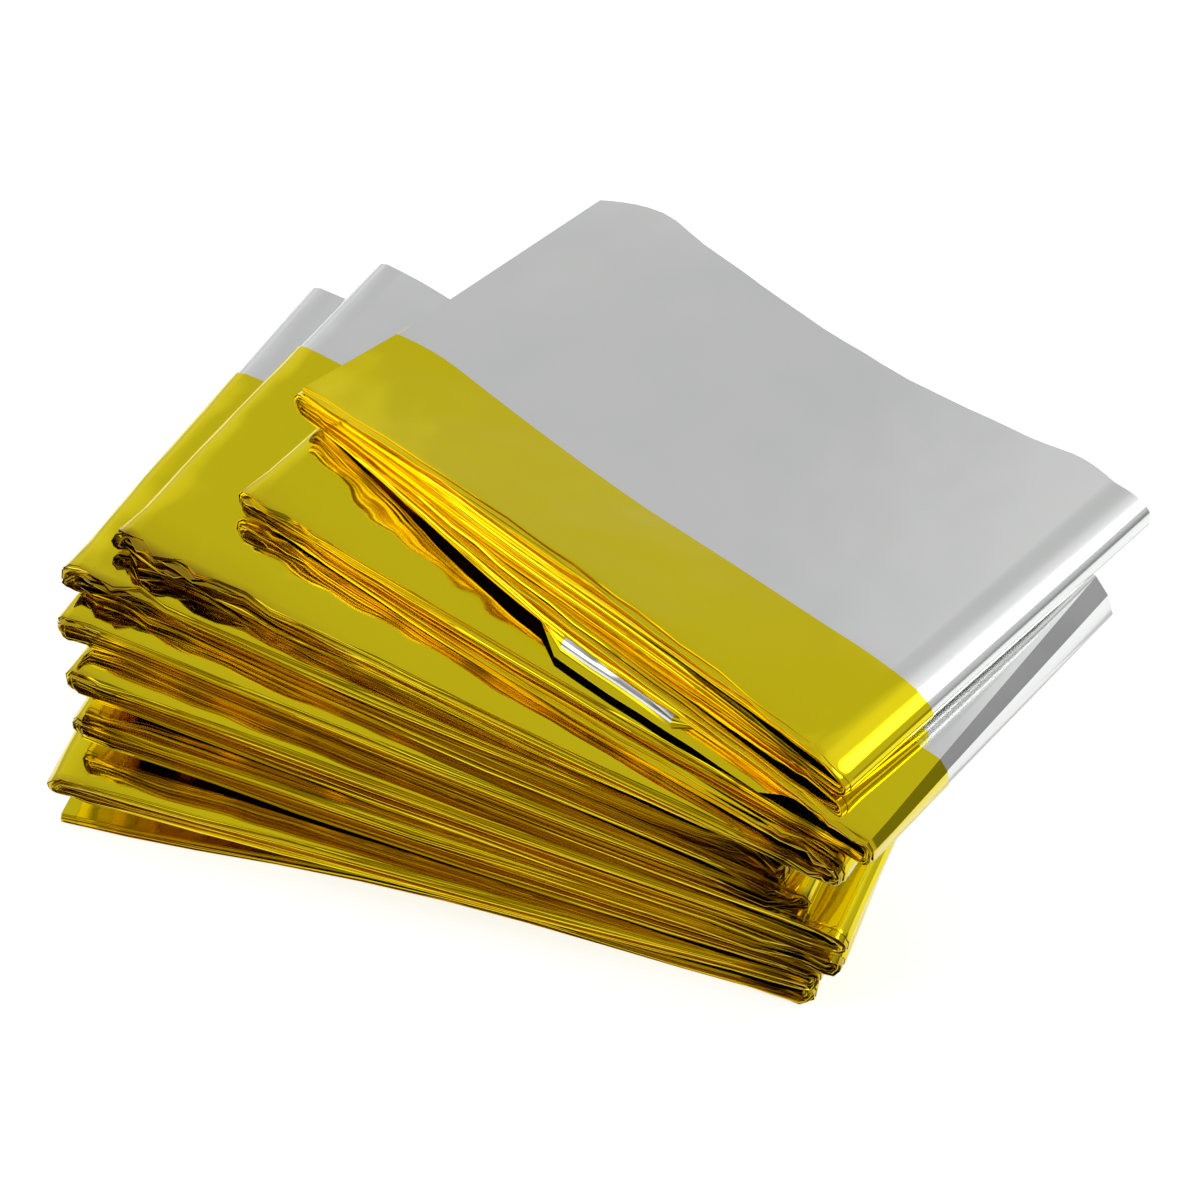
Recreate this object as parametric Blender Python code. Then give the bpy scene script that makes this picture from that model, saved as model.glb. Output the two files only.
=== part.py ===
"""Emergency foil blanket, pleated into a narrow strip and fanned out in pages.

A gold and silver film, 2.1 m long and 1.6 m wide, is pleated along its length into a
strip about 70 mm wide. The strip is folded back and forth into eighteen panels that lie
on each other like the pages of a fan. This model is the strip as one closed solid,
1.5 mm thick, with every fold of the fan open by a small gap.

Units are metres. X runs along the lowest panel, which lies flat on the surface, -Y is the
side of the pleats' gold folds, and Z is up. The origin is the middle of the bounding box,
at the surface.
"""

import bmesh
import bpy
import numpy as np

MM = 0.001
STRIP_WIDTH = 69.5 * MM
STRIP_THICKNESS = 1.5 * MM
BLUNT_LENGTH = 9.0 * MM  # how much of a panel's back edge a crumpled back corner takes
EDGE_WAVE = 0.12 * MM  # how far the front edge of a raised panel waves up and down
WAVE_LENGTH = 46.0 * MM
PIVOT = np.array((43.543, -54.809, 0.0)) * MM  # the point that the fan turns about

# One row for each end of a panel, from the free end on top, along the strip, to the free
# end at the bottom. Sizes are in millimetres. x and y place the fold's front corner from
# the pivot, and height is the middle of the fold. half_gap is half the distance between
# the middles of the two panels that it joins, nose is how far the bend stands out, and
# blunt is how far the crumpled back corner falls short of the strip's full width.
FOLD_COLUMNS = ("name", "x", "y", "height", "half_gap", "nose", "blunt")
FOLDS = (
    ("top_end", -91.6, 51.3, 44.3, 0.0, 0.0, 2.6),
    ("right_1", -0.2, 6.0, 39.7, 1.9, 2.6, 1.6),
    ("left_1", -92.8, 52.0, 41.3, 1.15, 1.2, 2.6),
    ("right_2", 4.6, -0.3, 34.3, 1.6, 2.6, 7.0),
    ("left_2", -95.1, 34.9, 36.8, 1.15, 1.2, 2.6),
    ("right_3", 1.1, -1.0, 29.6, 1.25, 1.4, 1.0),
    ("left_3", -110.6, 25.7, 33.0, 1.15, 1.2, 2.6),
    ("right_4", -6.0, 2.2, 25.3, 1.25, 1.4, 1.0),
    ("left_4", -117.0, 21.0, 29.2, 1.15, 1.2, 2.6),
    ("right_5", -3.4, -0.3, 20.9, 1.25, 1.4, 1.0),
    ("left_5", -116.3, 15.2, 24.8, 1.15, 1.2, 2.6),
    ("right_6", 2.7, -1.9, 16.4, 1.25, 1.4, 1.0),
    ("left_6", -113.0, 9.3, 20.0, 1.15, 1.2, 2.6),
    ("right_7", 2.5, -2.1, 11.9, 1.25, 1.4, 1.0),
    ("left_7", -111.4, 5.6, 14.6, 1.15, 1.2, 2.6),
    ("right_8", -0.2, -2.1, 7.3, 1.25, 1.4, 1.0),
    ("left_8", -113.0, -1.0, 8.6, 1.15, 1.2, 2.6),
    ("right_9", -1.1, -0.5, 2.0, 1.25, 1.4, 1.0),
    ("bottom_end", -113.1, -0.5, 0.75, 0.0, 0.0, 2.6),
)

# How far the middle of each panel bows up from the straight line between its folds, in
# millimetres, from the top panel to the bottom one.
BOWS = (
    (1.6, 0.2, -1.2, -0.9, -1.1, -0.9)
    + (-0.8, -0.8, -0.8, -0.6, -1.0, -0.5)
    + (-0.9, -0.4, -0.8, -0.2, -0.5, 0.0)
)

PANEL_STATIONS = (0.0, 0.04, 0.08, 0.2, 0.35, 0.5, 0.65, 0.8, 0.92, 1.0)
BEND_STEPS = 6
ACROSS = (0.0, 0.1, 0.3, 0.55, 0.8, 1.0)

SHEET_GOLD = (0.78, 0.64, 0.05, 1.0)
SHEET_ROUGHNESS = 0.25
SHEET_METALLIC = 1.0


def clear_scene():
    for obj in list(bpy.data.objects):
        bpy.data.objects.remove(obj, do_unlink=True)


def read_folds():
    """The fold table as dictionaries, in metres."""
    folds = []
    for row in FOLDS:
        fold = dict(zip(FOLD_COLUMNS, row))
        folds.append(
            {
                "left": not fold["name"].startswith("right"),
                "corner": np.array((fold["x"], fold["y"], fold["height"])) * MM + PIVOT,
                "half_gap": fold["half_gap"] * MM,
                "nose": fold["nose"] * MM,
                "blunt": fold["blunt"] * MM,
            }
        )
    return folds


def unit(vector):
    return vector / np.linalg.norm(vector)


def level_direction(start, end):
    """The level unit vector from one fold's corner to another."""
    return unit(np.array((end[0] - start[0], end[1] - start[1], 0.0)))


def rightward_direction(start, end):
    """The level unit vector along a panel, from its left end to its right end."""
    along = level_direction(start["corner"], end["corner"])
    return -along if end["left"] else along


def add_creases(folds):
    """Gives each fold its crease, halfway between the panels it joins, and its way out.

    A strip that is folded flat turns by twice the angle of the crease, so the crease lies
    square to the mean direction of the two panels.
    """
    rightwards = [rightward_direction(start, end) for start, end in zip(folds, folds[1:])]
    for number, fold in enumerate(folds):
        beside = rightwards[max(number - 1, 0) : number + 1]
        rightward = unit(sum(beside))
        fold["crease"] = np.array((-rightward[1], rightward[0], 0.0))
        fold["outward"] = -rightward if fold["left"] else rightward


def lost_width(fold, distance):
    """How much narrower the strip is at a distance along it from one of its folds."""
    return fold["blunt"] * max(0.0, 1.0 - distance / BLUNT_LENGTH)


def panel_end(fold, level):
    """The front corner of a panel where its bend starts, at its own level of the fold."""
    corner = fold["corner"] - fold["outward"] * fold["nose"]
    corner[2] += level * fold["half_gap"]
    return corner


def panel_row(start, end, bow, share):
    """The points across a panel's middle surface, at a share of its length."""
    first = panel_end(start, -1.0)
    last = panel_end(end, 1.0)
    front = first * (1.0 - share) + last * share
    across = unit(start["crease"] * (1.0 - share) + end["crease"] * share)
    length = np.linalg.norm(last - first)
    from_start = length * share
    from_end = length - from_start
    from_left = from_start if start["left"] else from_end
    width = STRIP_WIDTH - lost_width(start, from_start) - lost_width(end, from_end)
    points = []
    for part in ACROSS:
        point = front + across * width * part
        point[2] += bow * 4.0 * share * (1.0 - share)
        if bow:
            wave = np.sin(2.0 * np.pi * from_left / WAVE_LENGTH)
            point[2] += EDGE_WAVE * wave * np.sin(np.pi * share) * (1.0 - part)
        points.append(point)
    return np.array(points)


def row_normals(rows, index):
    """Upward unit normals of one row, from the rows beside it."""
    before = rows[max(index - 1, 0)]
    after = rows[min(index + 1, len(rows) - 1)]
    along = after - before
    across = rows[index][-1] - rows[index][0]
    normals = np.cross(along, across)
    normals /= np.linalg.norm(normals, axis=1)[:, None]
    return normals * np.sign(normals[:, 2])[:, None]


def panel_surface(start, end, bow):
    """The panel's middle surface and upward normals, row by row."""
    rows = [panel_row(start, end, bow, share) for share in PANEL_STATIONS]
    return rows, [row_normals(rows, index) for index in range(len(rows))]


def bend_surface(upper, lower, fold):
    """The half turn from the upper panel's last row to the lower panel's first row."""
    upper_row, upper_normal = upper
    lower_row, lower_normal = lower
    middle = (upper_row + lower_row) / 2.0
    half = (upper_row - lower_row) / 2.0
    rise = np.linalg.norm(half, axis=1)[:, None]
    rows = []
    normals = []
    for step in range(1, BEND_STEPS):
        share = step / BEND_STEPS
        up = np.cos(np.pi * share)
        out = np.sin(np.pi * share)
        level = upper_normal * (1.0 - share) + lower_normal * share
        rows.append(middle + half * up + fold["outward"] * fold["nose"] * out)
        normal = level * up / rise + fold["outward"] * out / fold["nose"]
        normals.append(normal / np.linalg.norm(normal, axis=1)[:, None])
    return rows, normals


def strip_surface():
    """The strip's middle surface, and the unit normals of the side that is up on top."""
    folds = read_folds()
    add_creases(folds)
    panels = [
        panel_surface(start, end, bow * MM) for start, end, bow in zip(folds, folds[1:], BOWS)
    ]
    rows = []
    normals = []
    for number, (panel_rows, panel_normals) in enumerate(panels):
        side = 1.0 if number % 2 == 0 else -1.0
        rows.extend(panel_rows)
        normals.extend(side * normal for normal in panel_normals)
        if number + 1 < len(panels):
            next_rows, next_normals = panels[number + 1]
            upper = (panel_rows[-1], panel_normals[-1])
            lower = (next_rows[0], next_normals[0])
            bend_rows, bend_normals = bend_surface(upper, lower, folds[number + 1])
            rows.extend(bend_rows)
            normals.extend(side * normal for normal in bend_normals)
    return np.array(rows), np.array(normals)


def solid_mesh(rows, normals, thickness):
    """A closed mesh: the surface thickened evenly on both sides, with its edges closed."""
    outer = rows + normals * thickness / 2.0
    inner = rows - normals * thickness / 2.0
    row_count, column_count = rows.shape[:2]
    solid = bmesh.new()
    outer_points = [[solid.verts.new(point) for point in row] for row in outer]
    inner_points = [[solid.verts.new(point) for point in row] for row in inner]
    for i in range(row_count - 1):
        for j in range(column_count - 1):
            corners = ((i, j), (i + 1, j), (i + 1, j + 1), (i, j + 1))
            solid.faces.new([outer_points[a][b] for a, b in corners])
            solid.faces.new([inner_points[a][b] for a, b in reversed(corners)])
    around = [(i, 0) for i in range(row_count)]
    around += [(row_count - 1, j) for j in range(1, column_count)]
    around += [(i, column_count - 1) for i in range(row_count - 2, -1, -1)]
    around += [(0, j) for j in range(column_count - 2, 0, -1)]
    for (a, b), (c, d) in zip(around, around[1:] + around[:1]):
        solid.faces.new(
            (inner_points[a][b], inner_points[c][d], outer_points[c][d], outer_points[a][b])
        )
    bmesh.ops.recalc_face_normals(solid, faces=solid.faces)
    bmesh.ops.triangulate(solid, faces=solid.faces)
    mesh = bpy.data.meshes.new("blanket")
    solid.to_mesh(mesh)
    solid.free()
    return mesh


def sheet_material():
    material = bpy.data.materials.new("metallised_film")
    material.use_nodes = True
    shader = material.node_tree.nodes["Principled BSDF"]
    shader.inputs["Base Color"].default_value = SHEET_GOLD
    shader.inputs["Roughness"].default_value = SHEET_ROUGHNESS
    shader.inputs["Metallic"].default_value = SHEET_METALLIC
    return material


def make_blanket():
    rows, normals = strip_surface()
    mesh = solid_mesh(rows, normals, STRIP_THICKNESS)
    mesh.materials.append(sheet_material())
    mesh.shade_smooth()
    mesh.set_sharp_from_angle(angle=np.radians(40.0))
    blanket = bpy.data.objects.new("blanket", mesh)
    bpy.context.scene.collection.objects.link(blanket)
    return blanket


clear_scene()
make_blanket()
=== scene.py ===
"""Emergency foil blanket: one film, pleated into a strip and fanned out in eighteen panels.

The film is gold on one face and silver on the other. It is made here at its own thickness,
ply by ply: a section of its pleats is swept along the folded strip.

Units are metres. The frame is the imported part's: X runs along the lowest panel, Z is up.
"""

import bpy
import numpy as np
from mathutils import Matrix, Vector


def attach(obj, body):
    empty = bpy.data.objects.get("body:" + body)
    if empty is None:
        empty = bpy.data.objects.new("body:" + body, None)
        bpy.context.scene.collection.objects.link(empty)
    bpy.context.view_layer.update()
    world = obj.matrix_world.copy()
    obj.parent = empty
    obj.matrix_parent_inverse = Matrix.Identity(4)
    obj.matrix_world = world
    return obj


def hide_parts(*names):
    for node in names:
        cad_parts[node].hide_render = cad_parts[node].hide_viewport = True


MM = 0.001

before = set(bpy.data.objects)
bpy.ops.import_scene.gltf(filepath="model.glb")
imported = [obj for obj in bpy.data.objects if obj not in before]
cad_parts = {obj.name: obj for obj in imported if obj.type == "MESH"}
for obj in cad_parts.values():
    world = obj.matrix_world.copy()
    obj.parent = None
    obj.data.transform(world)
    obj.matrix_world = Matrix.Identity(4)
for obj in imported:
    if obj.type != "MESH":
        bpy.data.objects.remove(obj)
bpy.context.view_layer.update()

# ---------------------------------------------------------------- the folded strip

STRIP_WIDTH = 69.5 * MM
BLUNT_LENGTH = 11.0 * MM  # how much of a panel's back edge a crumpled back corner takes
PIVOT = np.array((43.543, -54.809, 0.0)) * MM  # the point that the fan turns about

# One row for each end of a panel, from the free end on top to the free end at the bottom.
# Sizes are in millimetres. x and y place the fold's front corner from the pivot, and height
# is the middle of the fold. half_gap is half the distance between the middles of the two
# panels, nose is how far the bend stands out, and blunt is what its back corner lacks.
# crumple is how far the film is pushed about at the front corner, and reach is how far
# along the panels that goes. thick is the pleated strip's thickness at the fold.
FOLD_COLUMNS = (
    ("name", "x", "y", "height", "half_gap", "nose", "blunt")
    + ("crumple", "reach", "thick")
)
FOLDS = (
    ("top_end", -91.6, 51.3, 44.3, 0.0, 0.0, 6.5, 0.1, 6.0, 1.9),
    ("right_1", -0.2, 6.0, 39.7, 1.9, 6.0, 2.6, 0.15, 8.0, 1.2),
    ("left_1", -92.8, 52.0, 41.3, 1.15, 1.2, 6.5, 0.2, 8.0, 1.9),
    ("right_2", 4.6, -0.3, 34.3, 1.6, 5.0, 10.5, 0.4, 8.0, 1.3),
    ("left_2", -95.1, 34.9, 36.8, 1.15, 1.2, 1.0, 0.6, 12.0, 1.75),
    ("right_3", 1.1, -1.0, 29.6, 1.25, 1.4, 1.0, 1.0, 10.0, 1.4),
    ("left_3", -110.6, 25.7, 33.0, 1.15, 1.2, 0.6, 1.5, 24.0, 1.75),
    ("right_4", -6.0, 2.2, 25.3, 1.25, 1.4, 1.0, 1.4, 10.0, 1.4),
    ("left_4", -117.0, 21.0, 29.2, 1.15, 1.2, 1.0, 1.2, 16.0, 1.75),
    ("right_5", -3.4, -0.3, 20.9, 1.25, 1.4, 1.0, 1.2, 10.0, 1.4),
    ("left_5", -116.3, 15.2, 24.8, 1.15, 1.2, 2.6, 0.8, 8.0, 1.75),
    ("right_6", 2.7, -1.9, 16.4, 1.25, 1.4, 1.0, 0.6, 10.0, 1.4),
    ("left_6", -113.0, 9.3, 20.0, 1.15, 1.2, 2.6, 0.7, 7.0, 1.75),
    ("right_7", 2.5, -2.1, 11.9, 1.25, 1.4, 1.0, 0.9, 10.0, 1.4),
    ("left_7", -111.4, 5.6, 14.6, 1.15, 1.2, 2.6, 0.7, 8.0, 1.75),
    ("right_8", -0.2, -2.1, 7.3, 1.25, 1.4, 1.0, 0.8, 8.0, 1.4),
    ("left_8", -113.0, -1.0, 8.6, 1.15, 1.2, 2.6, 0.7, 8.0, 1.75),
    ("right_9", -1.1, -0.5, 2.0, 1.25, 1.4, 1.0, 0.7, 8.0, 1.4),
    ("bottom_end", -113.1, -0.5, 0.75, 0.0, 0.0, 2.6, 0.1, 6.0, 1.75),
)

# One row for each panel, from the top. bow is how far its middle lies above the straight
# line between its folds, thick is the pleated strip's thickness there, and slide is how far
# its upper and its lower plies have slid out at the front there. sag is how far it sinks
# below its bulky front edge, just behind that edge and at the back. All these are in
# millimetres. droop is the share of the sag by which its left end sinks too, and rows is how
# many sections of film are swept along it.
PANEL_COLUMNS = ("bow", "thick", "slide", "sag", "droop", "rows")
PANELS = (
    (1.6, 2.9, (0.0, 0.7), (6.4, 9.0), 0.25, 34),
    (1.4, 2.9, (0.8, 1.6), (5.2, 7.7), 0.25, 27),
    (0.8, 2.4, (1.7, 2.9), (4.1, 6.5), 0.25, 31),
    (-0.9, 2.0, (0.0, 0.5), (0.0, 6.6), 0.0, 24),
    (-1.1, 1.9, (0.5, 1.0), (0.0, 6.2), 0.0, 22),
    (-0.9, 1.9, (0.0, 0.4), (0.0, 5.8), 0.0, 22),
    (-0.8, 1.9, (0.4, 1.0), (0.0, 5.4), 0.0, 18),
    (-0.8, 1.8, (0.0, 0.3), (0.0, 5.0), 0.0, 18),
    (-0.8, 1.8, (0.2, 0.6), (0.0, 4.6), 0.0, 16),
    (-0.6, 1.9, (0.0, 0.3), (0.0, 4.2), 0.0, 15),
    (-1.0, 1.8, (0.2, 0.5), (0.0, 3.8), 0.0, 14),
    (-0.5, 1.9, (0.0, 0.2), (0.0, 3.4), 0.0, 14),
    (-0.9, 2.0, (0.2, 0.5), (0.0, 3.0), 0.0, 13),
    (-0.4, 2.0, (0.0, 0.2), (0.0, 2.5), 0.0, 12),
    (-0.8, 2.1, (0.2, 0.4), (0.0, 2.0), 0.0, 12),
    (-0.2, 2.1, (0.0, 0.2), (0.0, 1.4), 0.0, 12),
    (-0.5, 2.3, (-0.6, -0.4), (0.0, 0.8), 0.0, 12),
    (0.0, 1.3, (-2.3, -2.3), (0.0, 0.0), 0.0, 13),
)
RIDGE = 0.3  # how far across the strip its bulky front edge and an odd panel's flap reach
THINNING = 0.5  # how much thinner the strip is behind that edge, halfway along a panel
FRONT_FLARE = 0.12  # and how much thicker its front edge is than its back edge
DROOP_POWER = 4
BEND_ROWS = 4  # sections of film in a plain bend
# The bends at the right that aren't plain half turns. Each row is one section of film, as
# how far out from the bend's tip and how far up it lies, in millimetres, at the front edge
# and at the back edge. The first bend slopes gently and then turns sharply down. The second
# has a slanted facet between two creases, which widens towards the back.
BEND_SHAPES = {
    "right_1": (
        ((-4.5, 1.72), (-4.0, 1.87)),
        ((-3.2, 1.4), (-2.6, 1.75)),
        ((-2.0, 0.95), (-1.5, 1.4)),
        ((-1.0, 0.45), (-0.8, 1.05)),
        ((-0.35, 0.0), (-0.3, 0.65)),
        ((-0.05, -0.45), (-0.05, 0.2)),
        ((0.0, -0.8), (0.0, -0.4)),
        ((-0.1, -1.3), (-0.1, -1.2)),
        ((-0.6, -1.75), (-0.6, -1.75)),
        ((-1.6, -1.9), (-1.6, -1.9)),
    ),
    "right_2": (
        ((-2.5, 1.52), (-4.9, 1.6)),
        ((-0.6, 1.4), (-4.6, 1.5)),
        ((0.0, 0.7), (-2.5, -0.6)),
        ((0.05, -0.8), (-1.5, -3.2)),
        ((-0.3, -1.4), (-1.9, -3.8)),
        ((-1.2, -1.6), (-3.0, -3.4)),
        ((-3.0, -1.6), (-4.4, -2.2)),
    ),
}
BEND_CREASES = {"right_2": (2, 3)}  # these sections of the bend are sharp creases
MITRE_LIMIT = 1.3  # the strip is widened by no more than this where a bend turns sharply
STEP = 0.01  # the step, in shares of a panel, that slopes are measured over


def unit(vector):
    return vector / np.linalg.norm(vector)


def read_folds():
    """The fold table in metres, with each fold's crease and its way out."""
    folds = []
    for row in FOLDS:
        fold = dict(zip(FOLD_COLUMNS, row))
        fold["left"] = not fold["name"].startswith("right")
        fold["corner"] = np.array((fold["x"], fold["y"], fold["height"])) * MM + PIVOT
        for size in ("half_gap", "nose", "blunt", "crumple", "reach", "thick"):
            fold[size] *= MM
        folds.append(fold)
    for number, fold in enumerate(folds):
        sides = [
            rightward_direction(folds[i], folds[i + 1])
            for i in (number - 1, number)
            if 0 <= i < len(folds) - 1
        ]
        rightward = unit(sum(sides))
        fold["crease"] = np.array((-rightward[1], rightward[0], 0.0))
        fold["outward"] = -rightward if fold["left"] else rightward
    return folds


def rightward_direction(start, end):
    """The level unit vector along a panel, from its left end to its right end."""
    along = end["corner"] - start["corner"]
    along[2] = 0.0
    return unit(-along if end["left"] else along)


def fold_end(fold, level):
    """The front corner of a panel where its bend starts, at its own level of the fold."""
    corner = fold["corner"] - fold["outward"] * fold["nose"]
    corner[2] += level * fold["half_gap"]
    return corner


def read_panels(folds):
    """The panel table, with each panel's front corners. side is 1 where side A is on top."""
    panels = []
    for number, row in enumerate(PANELS):
        panel = dict(zip(PANEL_COLUMNS, row))
        start, end = folds[number], folds[number + 1]
        first, last = fold_end(start, -1.0), fold_end(end, 1.0)
        panel.update(number=number, start=start, end=end, first=first, last=last)
        panel["bow"] *= MM
        panel["thick"] *= MM
        panel["length"] = np.linalg.norm(last - first)
        panel["side"] = 1.0 if number % 2 == 0 else -1.0
        panels.append(panel)
    return panels


def lost_width(fold, distance):
    """How much narrower the strip is at a distance along it from one of its folds."""
    return fold["blunt"] * max(0.0, 1.0 - distance / BLUNT_LENGTH) ** 2


def smoothstep(value):
    """A soft step from 0 to 1."""
    value = np.clip(value, 0.0, 1.0)
    return value * value * (3.0 - 2.0 * value)


def hump(share):
    """1 halfway along a panel, and 0 at both its ends."""
    return 4.0 * share * (1.0 - share)


def sag_at(panel, share, across):
    """How far a panel sinks below the level of its front edge.

    It sinks in two straight stretches across the strip. Every ply has points where they
    meet, at the ridge, so that they all sink alike.
    """
    near, far = np.array(panel["sag"]) * MM
    from_left = share if panel["start"]["left"] else 1.0 - share
    along = hump(share) + panel["droop"] * (1.0 - from_left) ** DROOP_POWER
    ridge = np.clip(across / RIDGE, 0.0, 1.0)
    beyond = np.maximum((across - RIDGE) / (1.0 - RIDGE), 0.0)
    return along * (near * ridge + (far - near) * beyond)


def panel_points(panel, share, across):
    """Points of a panel's middle surface, at a share of its length and shares across it."""
    start, end = panel["start"], panel["end"]
    front = panel["first"] * (1.0 - share) + panel["last"] * share
    crease = unit(start["crease"] * (1.0 - share) + end["crease"] * share)
    from_start = panel["length"] * share
    from_end = panel["length"] - from_start
    width = STRIP_WIDTH - lost_width(start, from_start) - lost_width(end, from_end)
    points = front + crease * (width * across)[:, None]
    points[:, 2] += panel["bow"] * hump(share)
    points[:, 2] -= sag_at(panel, share, across)
    return points


def panel_normals(panel, share, across):
    """Upward unit normals of a panel's middle surface."""
    before = panel_points(panel, max(share - STEP, 0.0), across)
    after = panel_points(panel, min(share + STEP, 1.0), across)
    near = panel_points(panel, share, across - STEP)
    far = panel_points(panel, share, across + STEP)
    normals = np.cross(after - before, far - near)
    normals /= np.linalg.norm(normals, axis=1)[:, None]
    return normals * np.sign(normals[:, 2])[:, None]


def bend_shape(fold, across):
    """How far out and up each section of a bend lies, for each share across the strip."""
    if fold["name"] in BEND_SHAPES:
        shape = np.array(BEND_SHAPES[fold["name"]]) * MM
        front, back = shape[:, 0, None, :], shape[:, 1, None, :]
        inner = front + (back - front) * across[:, None]
    else:
        turn = np.linspace(0.0, np.pi, BEND_ROWS + 2)[1:-1]
        out, rise = fold["nose"] * (np.sin(turn) - 1.0), fold["half_gap"] * np.cos(turn)
        inner = np.repeat(np.stack((out, rise), axis=1)[:, None, :], len(across), axis=1)
    start = np.tile((-fold["nose"], fold["half_gap"]), (1, len(across), 1))
    return np.concatenate((start, inner, start * (1.0, -1.0)))


def bend_section(upper, lower, fold, row, across):
    """Middle points and normals across the strip, for one section of a bend."""
    shape = bend_shape(fold, across)
    steps = np.diff(shape[row - 1 : row + 2], axis=0)
    steps /= np.linalg.norm(steps, axis=2)[:, :, None]
    lean = steps[0] + steps[1]
    lean /= np.linalg.norm(lean, axis=1)[:, None]
    mitre = np.minimum(1.0 / (lean * steps[1]).sum(axis=1), MITRE_LIMIT)
    middle = (panel_points(upper, 1.0, across) + panel_points(lower, 0.0, across)) / 2.0
    points = middle + fold["outward"] * (fold["nose"] + shape[row][:, 0:1])
    points[:, 2] += shape[row][:, 1]
    share = row / (len(shape) - 1)
    level = panel_normals(upper, 1.0, across) * (1.0 - share)
    level += panel_normals(lower, 0.0, across) * share
    normals = level * lean[:, 0:1] - fold["outward"] * lean[:, 1:2]
    return points, normals * mitre[:, None]


# ---------------------------------------------------------------- the pleats

PLIES = 24  # twenty-two whole plies, and a flap on each side of the strip
FILM_THICKNESS = 0.012 * MM
# Shares across the strip. On side A its flap ends at the ridge, and on side B at FLAP_B.
# Every ply has points at INNER_SHARES, and the outer ones have one more.
FLAP_B = 0.67
SLIDE_SHARE = 0.9  # how far across the plies have slid
CRUMPLE_SHARE = 0.09  # how far across the crumpling of the strip's ends reaches
INNER_SHARES = (CRUMPLE_SHARE, RIDGE)
OUTER_SHARES = (0.02, *INNER_SHARES)
FLAP_STAND = 0.12  # how far the flap on side B stands off its ply, in strip thicknesses
FRONT_ARC = 4  # points round a fold at the front edge
BACK_ARC = 2  # and at the back edge
FRONT_BULGE = 0.3 * MM  # how far from a front fold's tip its film lies flat
PLEAT_SEED = 7
WAVES_PER_PLY = 4
WAVE_GAIN = 1.6  # this makes up for waves that cancel each other
# The shortest and longest waves in the gaps between plies, in the edges, and where crumpled.
GAP_LENGTHS = (30.0 * MM, 160.0 * MM)
FRONT_EDGE_LENGTHS = (9.0 * MM, 120.0 * MM)
BACK_EDGE_LENGTHS = (12.0 * MM, 120.0 * MM)
RAGGED_GAP_LENGTHS = (5.0 * MM, 14.0 * MM)
RAGGED_EDGE_LENGTHS = (4.0 * MM, 12.0 * MM)
GAP_WAVES = 0.5  # how much the gaps between plies vary along the strip
GAP_SPREAD = 1.9  # how unequal they are at an edge
# How far the folds stand in from an edge, in millimetres: by how much that varies along the
# strip, and from fold to fold.
EDGE_WAVES = {"front": 0.16, "back": 0.18}
EDGE_OFFSETS = {"front": 0.5, "back": 0.2}
OUTER_INSET = 0.8  # the outermost front folds stand in no further than this
RAGGED_GAPS = 0.9  # how much more the gaps vary where the film is crumpled by a millimetre
RAGGED_EDGE = 0.7  # how far its folds stand in or out there, in millimetres
CLOSED_GAP = 0.16  # the gap between two folds beside each other, as a share of a fold's own
CLOSED_MOST = 0.3  # and the widest that it gets
# How far the outermost two plies stand off the others at each edge, in strip thicknesses.
APART_FRONT = 0.02
APART_BACK = 0.08
END_DENSITY = 3.0  # how much closer together the sections are at a panel's ends
DENSITY_STEPS = 500


def smooth_noise(generator, count, shortest, longest):
    """Wavy lines, as functions of the distance along the strip, in a range of about -1 to 1."""
    shape = (count, WAVES_PER_PLY)
    lengths = np.exp(generator.uniform(np.log(shortest), np.log(longest), shape))
    phases = generator.uniform(0.0, 2.0 * np.pi, shape)
    sizes = generator.uniform(0.4, 1.0, shape)
    sizes /= sizes.sum(axis=1)[:, None]

    def at(distance):
        waves = np.sin(2.0 * np.pi * distance / lengths + phases)
        return (sizes * waves).sum(axis=1) * WAVE_GAIN

    return at


def make_pleat_noise():
    """How each ply and fold differs from the others, and how that varies along the strip."""
    generator = np.random.default_rng(PLEAT_SEED)
    return {
        "front_gap": smooth_noise(generator, PLIES - 1, *GAP_LENGTHS),
        "back_gap": smooth_noise(generator, PLIES - 1, *GAP_LENGTHS),
        "front_edge": smooth_noise(generator, PLIES, *FRONT_EDGE_LENGTHS),
        "back_edge": smooth_noise(generator, PLIES, *BACK_EDGE_LENGTHS),
        "front_size": generator.uniform(-1.0, 1.0, PLIES - 1),
        "back_size": generator.uniform(-1.0, 1.0, PLIES - 1),
        "front_offset": generator.uniform(-1.0, 1.0, PLIES),
        "back_offset": generator.uniform(-1.0, 1.0, PLIES),
        "ragged_gap": smooth_noise(generator, PLIES - 1, *RAGGED_GAP_LENGTHS),
        "ragged_edge": smooth_noise(generator, PLIES, *RAGGED_EDGE_LENGTHS),
    }


def fold_gaps(noise, edge, distance, ragged):
    """The gaps between plies at an edge: wide inside its folds, and narrow between them."""
    spread = GAP_WAVES * noise[edge + "_gap"](distance) + GAP_SPREAD * noise[edge + "_size"]
    gaps = np.exp(spread)
    between = slice(1, None, 2) if edge == "front" else slice(0, None, 2)
    gaps[between] = np.minimum(gaps[between] * CLOSED_GAP, CLOSED_MOST)
    gaps *= np.exp(RAGGED_GAPS * ragged * noise["ragged_gap"](distance))
    gaps[[1, -2]] += gaps.sum() * (APART_FRONT if edge == "front" else APART_BACK)
    return gaps


def ply_levels(gaps):
    """Each ply's level in the strip, from 0.5 at side A to -0.5 at side B."""
    levels = np.concatenate(([0.0], np.cumsum(gaps)))
    return 0.5 - levels / levels[-1]


def fold_insets(noise, edge, distance):
    """How far each fold at an edge stands in from it, in millimetres."""
    waves = EDGE_WAVES[edge] * noise[edge + "_edge"](distance)
    return waves + EDGE_OFFSETS[edge] * noise[edge + "_offset"]


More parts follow.
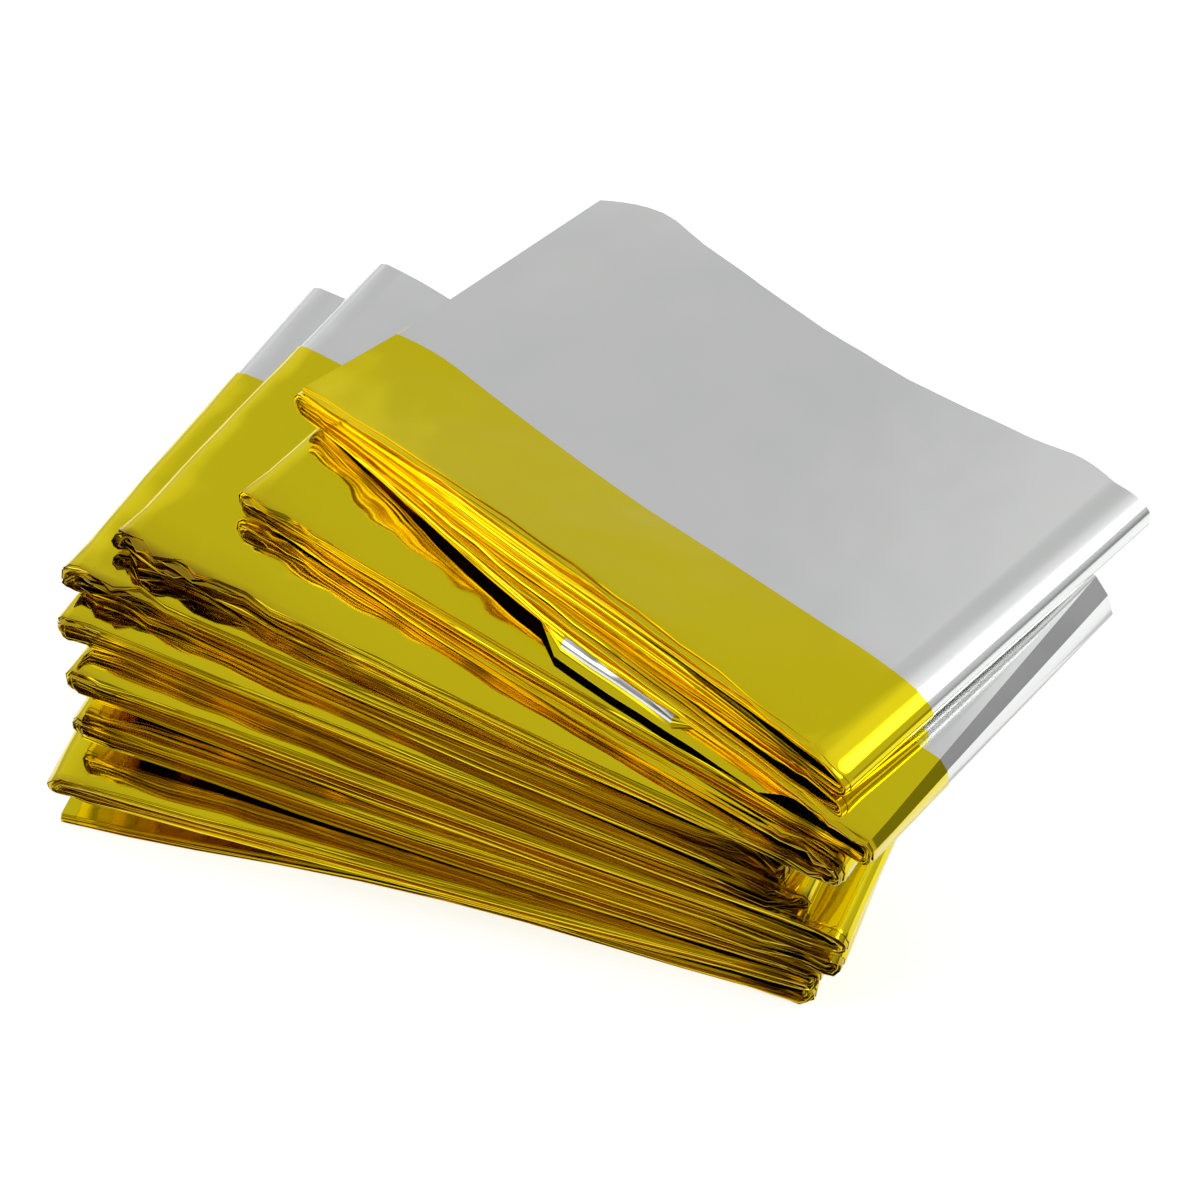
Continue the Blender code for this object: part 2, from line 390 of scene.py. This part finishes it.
def ply_shares(ply):
    """Where a ply's points lie across the strip, from its front edge on."""
    if ply == PLIES - 1:
        return np.array((*OUTER_SHARES, FLAP_B))
    return np.array(OUTER_SHARES if ply in (0, 1, PLIES - 2) else INNER_SHARES)


def pleat_section(noise, distance, crumple):
    """The film's path through the pleats: shares across, levels, and sideways edge moves.

    Returns rows of (share across, level, metres across to add). The path starts at the raw
    edge of the flap on side A and ends at that of the flap on side B.
    """
    ragged = crumple / MM
    front = ply_levels(fold_gaps(noise, "front", distance, ragged))
    back = ply_levels(fold_gaps(noise, "back", distance, 0.0))
    front_inset = fold_insets(noise, "front", distance)
    front_inset += RAGGED_EDGE * ragged * noise["ragged_edge"](distance)
    outermost = [0, PLIES // 2 - 1]
    front_inset[outermost] = np.minimum(front_inset[outermost], OUTER_INSET)
    back_inset = fold_insets(noise, "back", distance)
    path = []
    for ply in range(PLIES):
        shares = ply_shares(ply)
        levels = front[ply] * (1.0 - shares) + back[ply] * shares
        if ply == PLIES - 1:
            levels[-2:] -= FLAP_STAND
        to_front = ply % 2 == 0
        order = slice(None, None, -1) if to_front else slice(None)
        path.extend((u, v, 0.0) for u, v in zip(shares[order], levels[order]))
        if ply == PLIES - 1:
            break
        ends = front[ply : ply + 2] if to_front else back[ply : ply + 2]
        if to_front:
            inset = front_inset[ply // 2] * MM
            path.extend(fold_arc(0.0, *ends, inset, FRONT_BULGE, FRONT_ARC))
        else:
            inset = back_inset[ply // 2] * MM
            path.extend(fold_arc(1.0, *ends, -inset, 0.0, BACK_ARC))
    return np.array(path)


def fold_arc(share, upper, lower, edge, bulge, count):
    """A fold of the film, from one ply's level to the next, as rows of the path."""
    for angle in np.linspace(0.0, np.pi, count):
        level = (upper + lower) / 2.0 + (upper - lower) / 2.0 * np.cos(angle)
        yield share, level, edge + bulge * (1.0 - np.sin(angle))


def film_section(section, path):
    """Gold and silver points of one section of film, in the frame."""
    across = path[:, 0] + path[:, 2] / STRIP_WIDTH
    points, normals, thickness = section(across)
    height = path[:, 1] * thickness
    flat = np.stack((across * STRIP_WIDTH, height), axis=1)
    steps = np.diff(flat, axis=0)
    steps /= np.linalg.norm(steps, axis=1)[:, None]
    tangent = np.concatenate((steps[:1], steps[:-1] + steps[1:], steps[-1:]))
    tangent /= np.linalg.norm(tangent, axis=1)[:, None]
    middle = points + normals * height[:, None]
    inward = directions_across(section, across)
    offset = inward * tangent[:, 1:2] - normals * tangent[:, 0:1]
    offset *= FILM_THICKNESS / 2.0
    return middle + offset, middle - offset


def front_points(section, path):
    """Where each point of the path would be if it were at the strip's front edge."""
    points, normals, thickness = section(np.zeros(len(path)))
    return points + normals * (path[:, 1] * thickness)[:, None]


def directions_across(section, across):
    """Unit vectors along the strip's middle surface, from its front edge to its back edge."""
    near, _, _ = section(across - STEP)
    far, _, _ = section(across + STEP)
    return (far - near) / np.linalg.norm(far - near, axis=1)[:, None]


def thickness_at(panel, share, across):
    """How thick the pleated strip is. The lowest panel is as thick at its ends as between."""
    middle = hump(share)
    at_ends = panel["start"]["thick"] * (1.0 - share) + panel["end"]["thick"] * share
    thickness = at_ends + (panel["thick"] - at_ends) * middle
    thickness = thickness * (1.0 - THINNING * middle * smoothstep(across / RIDGE))
    if panel["number"] == len(PANELS) - 1:
        thickness = panel["thick"]
    return thickness * (1.0 + FRONT_FLARE * (1.0 - across))


def station_shares(panel):
    """Shares of a panel's length, closest together at its crumpled ends."""
    share = np.linspace(0.0, 1.0, DENSITY_STEPS)
    from_start = panel["length"] * share
    from_end = panel["length"] - from_start
    density = 1.0
    for fold, distance in ((panel["start"], from_start), (panel["end"], from_end)):
        density = density + END_DENSITY * np.exp(-distance / fold["reach"])
    total = np.concatenate(([0.0], np.cumsum((density[1:] + density[:-1]) / 2.0)))
    return np.interp(np.linspace(0.0, total[-1], panel["rows"]), total, share)


def panel_sections(panel, distance):
    """The sections of a panel that starts at a distance along the strip."""
    for share in station_shares(panel):

        def section(across, share=share):
            points = panel_points(panel, share, across)
            normals = panel["side"] * panel_normals(panel, share, across)
            return points, normals, thickness_at(panel, share, across)

        yield section, {
            "distance": distance + share * panel["length"],
            "crumple": crumple_size(panel, share),
            "slide": slide_at(panel, share),
            "smooth": smoothness(panel, share),
            "sharp": False,
            "number": panel["number"],
            "share": share,
        }


def bend_lengths(fold):
    """The lengths of a bend's stretches, along the strip's front edge."""
    shape = bend_shape(fold, np.zeros(1))[:, 0]
    return np.linalg.norm(np.diff(shape, axis=0), axis=1)


def bend_sections(upper, lower, fold, distance):
    """The sections of the bend between two panels."""
    lengths = bend_lengths(fold)
    for row in range(1, len(lengths)):
        distance += lengths[row - 1]

        def section(across, row=row):
            points, normals = bend_section(upper, lower, fold, row, across)
            flare = 1.0 + FRONT_FLARE * (1.0 - across)
            return points, upper["side"] * normals, fold["thick"] * flare

        yield section, {
            "distance": distance,
            "crumple": fold["crumple"],
            "slide": np.zeros(2),
            "smooth": 0.0 if fold["left"] else 1.0,
            "sharp": row in BEND_CREASES.get(fold["name"], ()),
            "number": None,
            "share": None,
        }


def sections_of_strip(panels, folds):
    """Every section of the strip: its function, and what else there is to know about it."""
    distance = 0.0
    for panel, after, fold in zip(panels, [*panels[1:], None], folds[1:]):
        yield from panel_sections(panel, distance)
        distance += panel["length"]
        if after:
            yield from bend_sections(panel, after, fold, distance)
            distance += bend_lengths(fold).sum()


# Three values that the film carries for its materials: painted reflection in the folds, painted
# shade where crumpled, and tautness.
PAINTED_FOLD_REFLECTION = "painted_fold_reflection"
PAINTED_CRUMPLE_SHADE = "painted_crumple_shade"
SMOOTHNESS = "smoothness"
PAINTED_REFLECTION_DEPTH = 1.6 * MM  # how far in from the front edge the painted reflection between the folds deepens the gold
PAINTED_SHADE_FULL_AT = 1.2 * MM  # film crumpled by this much gets the darkest painted shade
TAUT_LENGTH = 12.0 * MM  # how far from a bend at the right its film stays taut
CRUMPLE_SEED = 3
CRUMPLE_GAIN = 2.4  # this makes up for creases that cancel each other
CREASES = 9
CREASE_SPACINGS = (2.2 * MM, 9.0 * MM)
CREASE_TILT = 0.25  # how far from upright the creases' planes lean
LIFTED = (0.5, 0.88)  # the part of the top panel's length where its flap lifts
FLAP_LIFT = 0.2  # in strip thicknesses
NARROWED = (0.04, 115.0 * MM, 55.0 * MM)  # by how much its flap narrows, where, and how far
# Along part of the third panel its lowest two front folds stand loose from the others. The
# upper one is turned silver side out there, up to where it slips back in.
LOOSE_PANEL = 2
LOOSE = (0.54, 0.77, 0.91)  # shares of the panel's length: start, end of the silver, end
LOOSE_OUT = (1.5 * MM, -1.0 * MM, 2.2 * MM)  # silver fold, the same further on, lowest fold
LOOSE_GAP = 0.35  # how far the lowest fold hangs below the others, in strip thicknesses
SILVER_OPEN = (-0.3, 0.28)  # how much the silver fold opens upwards and downwards, likewise
LOOSE_RAMP = 0.012  # the share of the panel's length over which they come loose


def make_crumple():
    """A crumpling of space: flat facets with sharp creases, as moves of given points."""
    generator = np.random.default_rng(CRUMPLE_SEED)
    directions = generator.normal(size=(CREASES, 3)) * (1.0, 1.0, CREASE_TILT)
    directions /= np.linalg.norm(directions, axis=1)[:, None]
    lengths = np.geomspace(*CREASE_SPACINGS, CREASES)
    phases = generator.uniform(0.0, 1.0, CREASES)
    moves = generator.normal(size=(CREASES, 3))
    moves /= np.linalg.norm(moves, axis=1)[:, None]
    moves *= (lengths / lengths.sum())[:, None]

    def at(points):
        places = (points @ directions.T / lengths + phases) % 1.0
        return (4.0 * np.abs(places - 0.5) - 1.0) @ moves

    return at


def slide_at(panel, share):
    """How far the plies on side A and on side B have slid out at the front."""
    top, bottom = panel["slide"]
    sides = (top, bottom) if panel["side"] > 0.0 else (bottom, top)
    return np.array(sides) * MM * np.sin(np.pi * share) ** 2.0


def crumple_size(panel, share):
    """How strongly the film is crumpled at a share of a panel's length."""
    from_start = panel["length"] * share
    from_end = panel["length"] - from_start
    size = 0.0
    for fold, distance in ((panel["start"], from_start), (panel["end"], from_end)):
        size = max(size, fold["crumple"] * np.exp(-((distance / fold["reach"]) ** 2)))
    return size


def smoothness(panel, share):
    """How taut the film is: 1 at the bends on the right, and less away from them."""
    from_right = 1.0 - share if panel["start"]["left"] else share
    return np.exp(-panel["length"] * from_right / TAUT_LENGTH)


def shape_flap(path, about):
    """Narrows the topmost flap at the first bend, and lifts its raw edge along the top panel."""
    amount, middle, reach = NARROWED
    path[0, 0] -= amount * np.exp(-(((about["distance"] - middle) / reach) ** 2))
    if about["number"] == 0:
        first, last = LIFTED
        part = np.clip((about["share"] - first) / (last - first), 0.0, 1.0)
        path[0, 1] += FLAP_LIFT * np.sin(np.pi * part)


def ramp_between(share, first, last):
    """1 between two shares of a panel's length and 0 outside, with short steep ends."""
    inside = min(share - first, last - share)
    return np.clip(inside / LOOSE_RAMP + 0.5, 0.0, 1.0)


def lowest_front_folds(shares):
    """Which points lie in the last two folds at the front edge."""
    at_front = np.flatnonzero(shares == 0.0)
    return at_front[-2 * FRONT_ARC : -FRONT_ARC], at_front[-FRONT_ARC:]


def loosen_folds(path, about):
    """Moves the lowest two front folds of the loose panel."""
    if about["number"] != LOOSE_PANEL:
        return
    first, middle, last = LOOSE
    silver_out, slipped_out, lowest_out = LOOSE_OUT
    upper, lowest = lowest_front_folds(path[:, 0])
    silver = ramp_between(about["share"], first, middle)
    slipped = ramp_between(about["share"], middle, last)
    path[upper, 2] -= silver_out * silver + slipped_out * slipped
    path[lowest, 2] -= lowest_out * max(silver, slipped)
    path[upper, 1] -= np.linspace(*SILVER_OPEN, FRONT_ARC) * silver
    path[lowest, 1] -= LOOSE_GAP * max(silver, slipped)


def film_grids():
    """The film's gold and silver points, its painted reflection, painted shade and tautness, and
    where across and along they lie.
    """
    folds = read_folds()
    panels = read_panels(folds)
    noise = make_pleat_noise()
    crumple = make_crumple()
    gold, silver, tint, dark, smooth, abouts = [], [], [], [], [], []
    for section, about in sections_of_strip(panels, folds):
        size, slide = about["crumple"], about["slide"]
        path = pleat_section(noise, about["distance"], size)
        shape_flap(path, about)
        loosen_folds(path, about)
        near = np.clip(1.0 - path[:, 0] / SLIDE_SHARE, 0.0, 1.0)
        path[:, 2] -= near * (slide[0] * (0.5 + path[:, 1]) + slide[1] * (0.5 - path[:, 1]))
        inset = path[:, 0] * STRIP_WIDTH + path[:, 2]
        gold_row, silver_row = film_section(section, path)
        fronts = front_points(section, path)
        ramp = np.clip(1.0 - path[:, 0] / CRUMPLE_SHARE, 0.0, 1.0)
        moves = crumple(fronts) * (CRUMPLE_GAIN * size * ramp)[:, None]
        gold.append(gold_row + moves)
        silver.append(silver_row + moves)
        # Painted reflection: a deeper colour near the front edge stands in for light going to
        # and fro between the folds.
        tint.append(np.exp(-np.maximum(inset, 0.0) / PAINTED_REFLECTION_DEPTH))
        # Painted shade: a darker colour where the film is crumpled stands in for the shade
        # between its creases.
        dark.append(tint[-1] ** 2 * min(size / PAINTED_SHADE_FULL_AT, 1.0))
        smooth.append(np.maximum(tint[-1], about["smooth"]))
        abouts.append(about)
    shades = {PAINTED_FOLD_REFLECTION: tint, PAINTED_CRUMPLE_SHADE: dark, SMOOTHNESS: smooth}
    return np.array(gold), np.array(silver), shades, path[:, 0], abouts


GOLD_SLOT, SILVER_SLOT = 0, 1
SHARP_ANGLE = 60.0  # degrees


def grid_faces(rows, columns, start, backwards, flip):
    """Triangles between the points of a grid.

    Plies run to and fro across the strip, so the grid's squares are split the other way
    where it runs backwards. Then the plies that lie on each other are all split alike.
    """
    index = start + np.arange(rows * columns).reshape(rows, columns)
    corners = (index[:-1, :-1], index[1:, :-1], index[1:, 1:], index[:-1, 1:])
    triangles = []
    for other_way in (False, True):
        a, b, c, d = [corner[:, backwards == other_way].ravel() for corner in corners]
        split = ((a, b, d), (b, c, d)) if other_way else ((a, b, c), (a, c, d))
        triangles.extend(np.stack(points, axis=1) for points in split)
    triangles = np.concatenate(triangles)
    return triangles[:, ::-1] if flip else triangles


def rim_faces(rows, columns, shift):
    """The cut edges of the film, which join its two faces."""
    index = np.arange(rows * columns).reshape(rows, columns)
    loop = np.concatenate((index[:, 0], index[-1, 1:], index[-2::-1, -1], index[0, -2:0:-1]))
    after = np.roll(loop, -1)
    quads = (loop, loop + shift, after + shift, after)
    return np.concatenate((np.stack(quads[:3], axis=1), np.stack((loop, *quads[2:]), axis=1)))


def is_turned(gold_faces, across, abouts):
    """Which gold faces lie where the film's silver side is out at the front instead."""
    first, last, _ = LOOSE
    rows = [
        about["number"] == LOOSE_PANEL and first < about["share"] < last for about in abouts
    ]
    fold, _ = lowest_front_folds(across)
    row, column = np.divmod(gold_faces, len(across))
    in_fold = (column >= fold[0] - 1) & (column <= fold[-1])
    return (np.array(rows)[row] & in_fold).all(axis=1)


def sharpen_creases(mesh, rows, columns, abouts):
    """Makes the edges sharp that lie along the sharp sections of film."""
    ends = np.empty(2 * len(mesh.edges), dtype=np.int32)
    mesh.edges.foreach_get("vertices", ends)
    lines = ends.reshape(-1, 2) // columns
    sharp_lines = [row for row in range(2 * rows) if abouts[row % rows]["sharp"]]
    along = (lines[:, 0] == lines[:, 1]) & np.isin(lines[:, 0], sharp_lines)
    sharp = np.empty(len(mesh.edges), dtype=bool)
    mesh.attributes["sharp_edge"].data.foreach_get("value", sharp)
    mesh.attributes["sharp_edge"].data.foreach_set("value", sharp | along)


def make_film():
    gold, silver, shades, across, abouts = film_grids()
    backwards = np.diff(across) < 0.0
    rows, columns = gold.shape[:2]
    count = rows * columns
    points = np.concatenate((gold.reshape(-1, 3), silver.reshape(-1, 3)))
    gold_faces = grid_faces(rows, columns, 0, backwards, flip=True)
    silver_faces = grid_faces(rows, columns, count, backwards, flip=False)
    rim = rim_faces(rows, columns, count)
    faces = np.concatenate((gold_faces, silver_faces, rim))
    mesh = bpy.data.meshes.new("film")
    mesh.from_pydata(points, [], faces.tolist())
    slots = np.full(len(faces), SILVER_SLOT)
    slots[: len(gold_faces)] = GOLD_SLOT
    slots[: len(gold_faces)][is_turned(gold_faces, across, abouts)] = SILVER_SLOT
    mesh.polygons.foreach_set("material_index", slots.astype(np.int32))
    for name, values in shades.items():
        shade = mesh.attributes.new(name, "FLOAT", "POINT")
        shade.data.foreach_set("value", np.tile(np.ravel(values), 2).astype(np.float32))
    mesh.shade_smooth()
    mesh.set_sharp_from_angle(angle=np.radians(SHARP_ANGLE))
    sharpen_creases(mesh, rows, columns, abouts)
    mesh.update()
    film = bpy.data.objects.new("film", mesh)
    bpy.context.scene.collection.objects.link(film)
    mesh.materials.append(film_material("gold_film", GOLD))
    mesh.materials.append(film_material("silver_film", SILVER))
    return film


# ---------------------------------------------------------------- materials

GOLD = {
    "color": (0.81, 0.675, 0.005),
    "tint": (0.80, 0.662, 0.005),
    # fold: painted reflection, the deeper colour of light going to and fro between the folds.
    "fold": (0.80, 0.635, 0.005),
    # crumple: painted shade where the film is crumpled.
    "crumple": (0.36, 0.23, 0.012),
    "roughness": 0.07,
    "coat": 0.12,
    "waves": 0.9 * MM,
}
SILVER = {
    "color": (0.80, 0.81, 0.80),
    "tint": (0.785, 0.795, 0.79),
    # fold: painted reflection between the folds.
    "fold": (0.785, 0.795, 0.79),
    # crumple: painted shade where the film is crumpled.
    "crumple": (0.55, 0.56, 0.56),
    "roughness": 0.2,
    "coat": 0.0,
    "waves": 0.35 * MM,
}
COAT_ROUGHNESS = 0.08
ROUGHNESS_SPREAD = (0.8, 1.3)
CLOUD_SCALE = 60.0
CLOUD_DETAIL = 3.0
CLOUD_EDGES = (0.35, 0.6)  # where the clouds of "tint" end and those of "color" start
WAVE_SCALE = 80.0
DENTS = (420.0, 0.01 * MM)  # the scale and the depth of finer dents
FLOOR_GREY = 0.55
FLOOR_ROUGHNESS = 0.9


def socket_named(sockets, name):
    """The socket that is in use with this name or number."""
    if isinstance(name, int):
        return [socket for socket in sockets if socket.enabled][name]
    return next(socket for socket in sockets if socket.name == name and socket.enabled)


def link(tree, source, output, target, socket):
    tree.links.new(socket_named(source.outputs, output), socket_named(target.inputs, socket))


def add(tree, kind, **values):
    node = tree.nodes.new(kind)
    for name, value in values.items():
        setattr(node, name, value)
    return node


def noise_texture(tree, place, scale, detail):
    noise = add(tree, "ShaderNodeTexNoise")
    noise.inputs["Scale"].default_value = scale
    noise.inputs["Detail"].default_value = detail
    link(tree, place, "Object", noise, "Vector")
    return noise


def film_color(tree, cloud, look):
    """A slightly cloudy colour, deepened by a painted reflection in the folds and darkened by
    painted shade where the film is crumpled.
    """
    color = add(tree, "ShaderNodeValToRGB")
    for element, edge, end in zip(color.color_ramp.elements, CLOUD_EDGES, ("tint", "color")):
        element.position = edge
        element.color = (*look[end], 1.0)
    link(tree, cloud, "Fac", color, "Fac")
    # Mixes in the painted reflection of the folds and the painted shade of the crumples.
    for name, end in ((PAINTED_FOLD_REFLECTION, "fold"), (PAINTED_CRUMPLE_SHADE, "crumple")):
        amount = add(tree, "ShaderNodeAttribute", attribute_name=name)
        painted_light_mix = add(tree, "ShaderNodeMix", data_type="RGBA")
        socket_named(painted_light_mix.inputs, "B").default_value = (*look[end], 1.0)
        link(tree, amount, "Fac", painted_light_mix, "Factor")
        link(tree, color, 0, painted_light_mix, "A")
        color = painted_light_mix
    return color


def film_bump(tree, place, look):
    """Soft waves with finer dents on them, which fade where the film is taut."""
    looseness = add(tree, "ShaderNodeMath", operation="SUBTRACT")
    looseness.inputs[0].default_value = 1.0
    smooth = add(tree, "ShaderNodeAttribute", attribute_name=SMOOTHNESS)
    link(tree, smooth, "Fac", looseness, 1)
    normal = None
    for scale, depth in ((WAVE_SCALE, look["waves"]), DENTS):
        bump = add(tree, "ShaderNodeBump")
        bump.inputs["Distance"].default_value = depth
        link(tree, looseness, "Value", bump, "Strength")
        link(tree, noise_texture(tree, place, scale, 1.0), "Fac", bump, "Height")
        if normal:
            link(tree, normal, "Normal", bump, "Normal")
        normal = bump
    return normal


def film_material(name, look):
    """Metallised film under a thin coat."""
    material = bpy.data.materials.new(name)
    material.use_nodes = True
    tree = material.node_tree
    shader = tree.nodes["Principled BSDF"]
    shader.inputs["Metallic"].default_value = 1.0
    shader.inputs["Coat Weight"].default_value = look["coat"]
    shader.inputs["Coat Roughness"].default_value = COAT_ROUGHNESS
    place = add(tree, "ShaderNodeTexCoord")
    cloud = noise_texture(tree, place, CLOUD_SCALE, CLOUD_DETAIL)
    link(tree, film_color(tree, cloud, look), "Result", shader, "Base Color")
    rough = add(tree, "ShaderNodeMapRange")
    for socket, spread in zip(("To Min", "To Max"), ROUGHNESS_SPREAD):
        rough.inputs[socket].default_value = look["roughness"] * spread
    link(tree, cloud, "Fac", rough, "Value")
    link(tree, rough, "Result", shader, "Roughness")
    link(tree, film_bump(tree, place, look), "Normal", shader, "Normal")
    return material


def floor_material():
    material = bpy.data.materials.new("floor")
    material.use_nodes = True
    shader = material.node_tree.nodes["Principled BSDF"]
    shader.inputs["Base Color"].default_value = (FLOOR_GREY, FLOOR_GREY, FLOOR_GREY, 1.0)
    shader.inputs["Roughness"].default_value = FLOOR_ROUGHNESS
    return material


# ---------------------------------------------------------------- studio

FLOOR_SIZE = 6.0
FLOOR_DROP = 0.25 * MM  # the crumpled film dips this far below the frame's zero
CAMERA_FROM_PIVOT = np.array((34.74, -223.71, 319.47)) * MM
CAMERA_TILT = 46.78  # degrees below level
CAMERA_TURN = 16.485  # degrees to the left of +Y
LENS = 84.0
SENSOR = 36.0

LIGHT_BOUNCES = 10  # light goes to and fro between the gold folds
KEY_ENERGY = 5.6
KEY_ANGLE = 8.0  # degrees
WORLD_GREY = 0.6
WORLD_DARKEST = 0.02
# Soft lights far away, which show in the film. Angles are in degrees: azimuth from +X
# towards +Y, height above level, the radius of the bright middle and of the whole light.
# Where the strength is negative it is a dark part of the room.
GLOW_COLUMNS = ("name", "azimuth", "height", "middle", "whole", "strength")
GLOWS = (
    ("right_softbox", 30.0, 47.0, 3.0, 11.0, 4.5),
    ("right_skirt", 42.0, 55.0, 8.0, 26.0, 0.35),
    ("front_left_softbox", 198.0, 41.0, 8.0, 28.0, 2.2),
    ("overhead", 185.0, 75.0, 6.0, 22.0, -0.42),
    ("front_low", 245.0, 3.0, 12.0, 34.0, -0.55),
    ("left_low", 185.0, 3.0, 12.0, 36.0, -0.55),
    ("back_left", 125.0, 24.0, 6.0, 26.0, 0.2),
    ("right_dark", 17.0, 8.0, 6.0, 15.0, -0.4),
)


def make_floor():
    mesh = bpy.data.meshes.new("floor")
    half = FLOOR_SIZE / 2.0
    corners = [(-half, -half), (half, -half), (half, half), (-half, half)]
    mesh.from_pydata([(x, y, -FLOOR_DROP) for x, y in corners], [], [(0, 1, 2, 3)])
    mesh.materials.append(floor_material())
    floor = bpy.data.objects.new("floor", mesh)
    bpy.context.scene.collection.objects.link(floor)


def make_camera():
    data = bpy.data.cameras.new("camera")
    data.lens = LENS
    data.sensor_width = SENSOR
    data.sensor_fit = "HORIZONTAL"
    camera = bpy.data.objects.new("camera", data)
    camera.location = PIVOT + CAMERA_FROM_PIVOT
    camera.rotation_euler = (np.radians(90.0 - CAMERA_TILT), 0.0, np.radians(CAMERA_TURN))
    bpy.context.scene.collection.objects.link(camera)
    bpy.context.scene.camera = camera


def direction(azimuth, height):
    a, h = np.radians(azimuth), np.radians(height)
    return (np.cos(a) * np.cos(h), np.sin(a) * np.cos(h), np.sin(h))


def add_glow(tree, place, glow):
    """A round light that fades softly from its middle to its rim."""
    toward = add(tree, "ShaderNodeVectorMath", operation="DOT_PRODUCT")
    toward.inputs[1].default_value = direction(glow["azimuth"], glow["height"])
    link(tree, place, "Generated", toward, 0)
    soft = add(tree, "ShaderNodeMapRange", interpolation_type="SMOOTHSTEP")
    soft.inputs["From Min"].default_value = np.cos(np.radians(glow["whole"]))
    soft.inputs["From Max"].default_value = np.cos(np.radians(glow["middle"]))
    soft.inputs["To Max"].default_value = glow["strength"]
    link(tree, toward, "Value", soft, "Value")
    return soft


def make_world():
    world = bpy.data.worlds.new("studio")
    bpy.context.scene.world = world
    world.use_nodes = True
    tree = world.node_tree
    background = tree.nodes["Background"]
    background.inputs["Color"].default_value = (1.0, 1.0, 1.0, 1.0)
    place = add(tree, "ShaderNodeTexCoord")
    total = None
    for row in GLOWS:
        plus = add(tree, "ShaderNodeMath", operation="ADD")
        plus.inputs[1].default_value = WORLD_GREY
        link(tree, add_glow(tree, place, dict(zip(GLOW_COLUMNS, row))), "Result", plus, 0)
        if total:
            link(tree, total, "Value", plus, 1)
        total = plus
    strength = add(tree, "ShaderNodeMath", operation="MAXIMUM")
    strength.inputs[1].default_value = WORLD_DARKEST
    link(tree, total, "Value", strength, 0)
    link(tree, strength, "Value", background, "Strength")


def make_key_light():
    """A soft sun behind the camera, so that the film hides its own shadow from there."""
    data = bpy.data.lights.new("key", "SUN")
    data.energy = KEY_ENERGY
    data.angle = np.radians(KEY_ANGLE)
    key = bpy.data.objects.new("key", data)
    toward_camera = Vector(direction(CAMERA_TURN - 90.0, CAMERA_TILT))
    key.rotation_euler = toward_camera.to_track_quat("Z", "Y").to_euler()
    key.visible_glossy = False
    bpy.context.scene.collection.objects.link(key)


def make_studio():
    make_floor()
    make_camera()
    make_world()
    make_key_light()
    settings = bpy.context.scene.view_settings
    settings.view_transform = "Standard"
    settings.look = "None"
    cycles = bpy.context.scene.cycles
    cycles.max_bounces = LIGHT_BOUNCES
    cycles.glossy_bounces = LIGHT_BOUNCES


# ---------------------------------------------------------------- assembly


def declare_film(film):
    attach(film, "root")
    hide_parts("blanket")


make_studio()
declare_film(make_film())
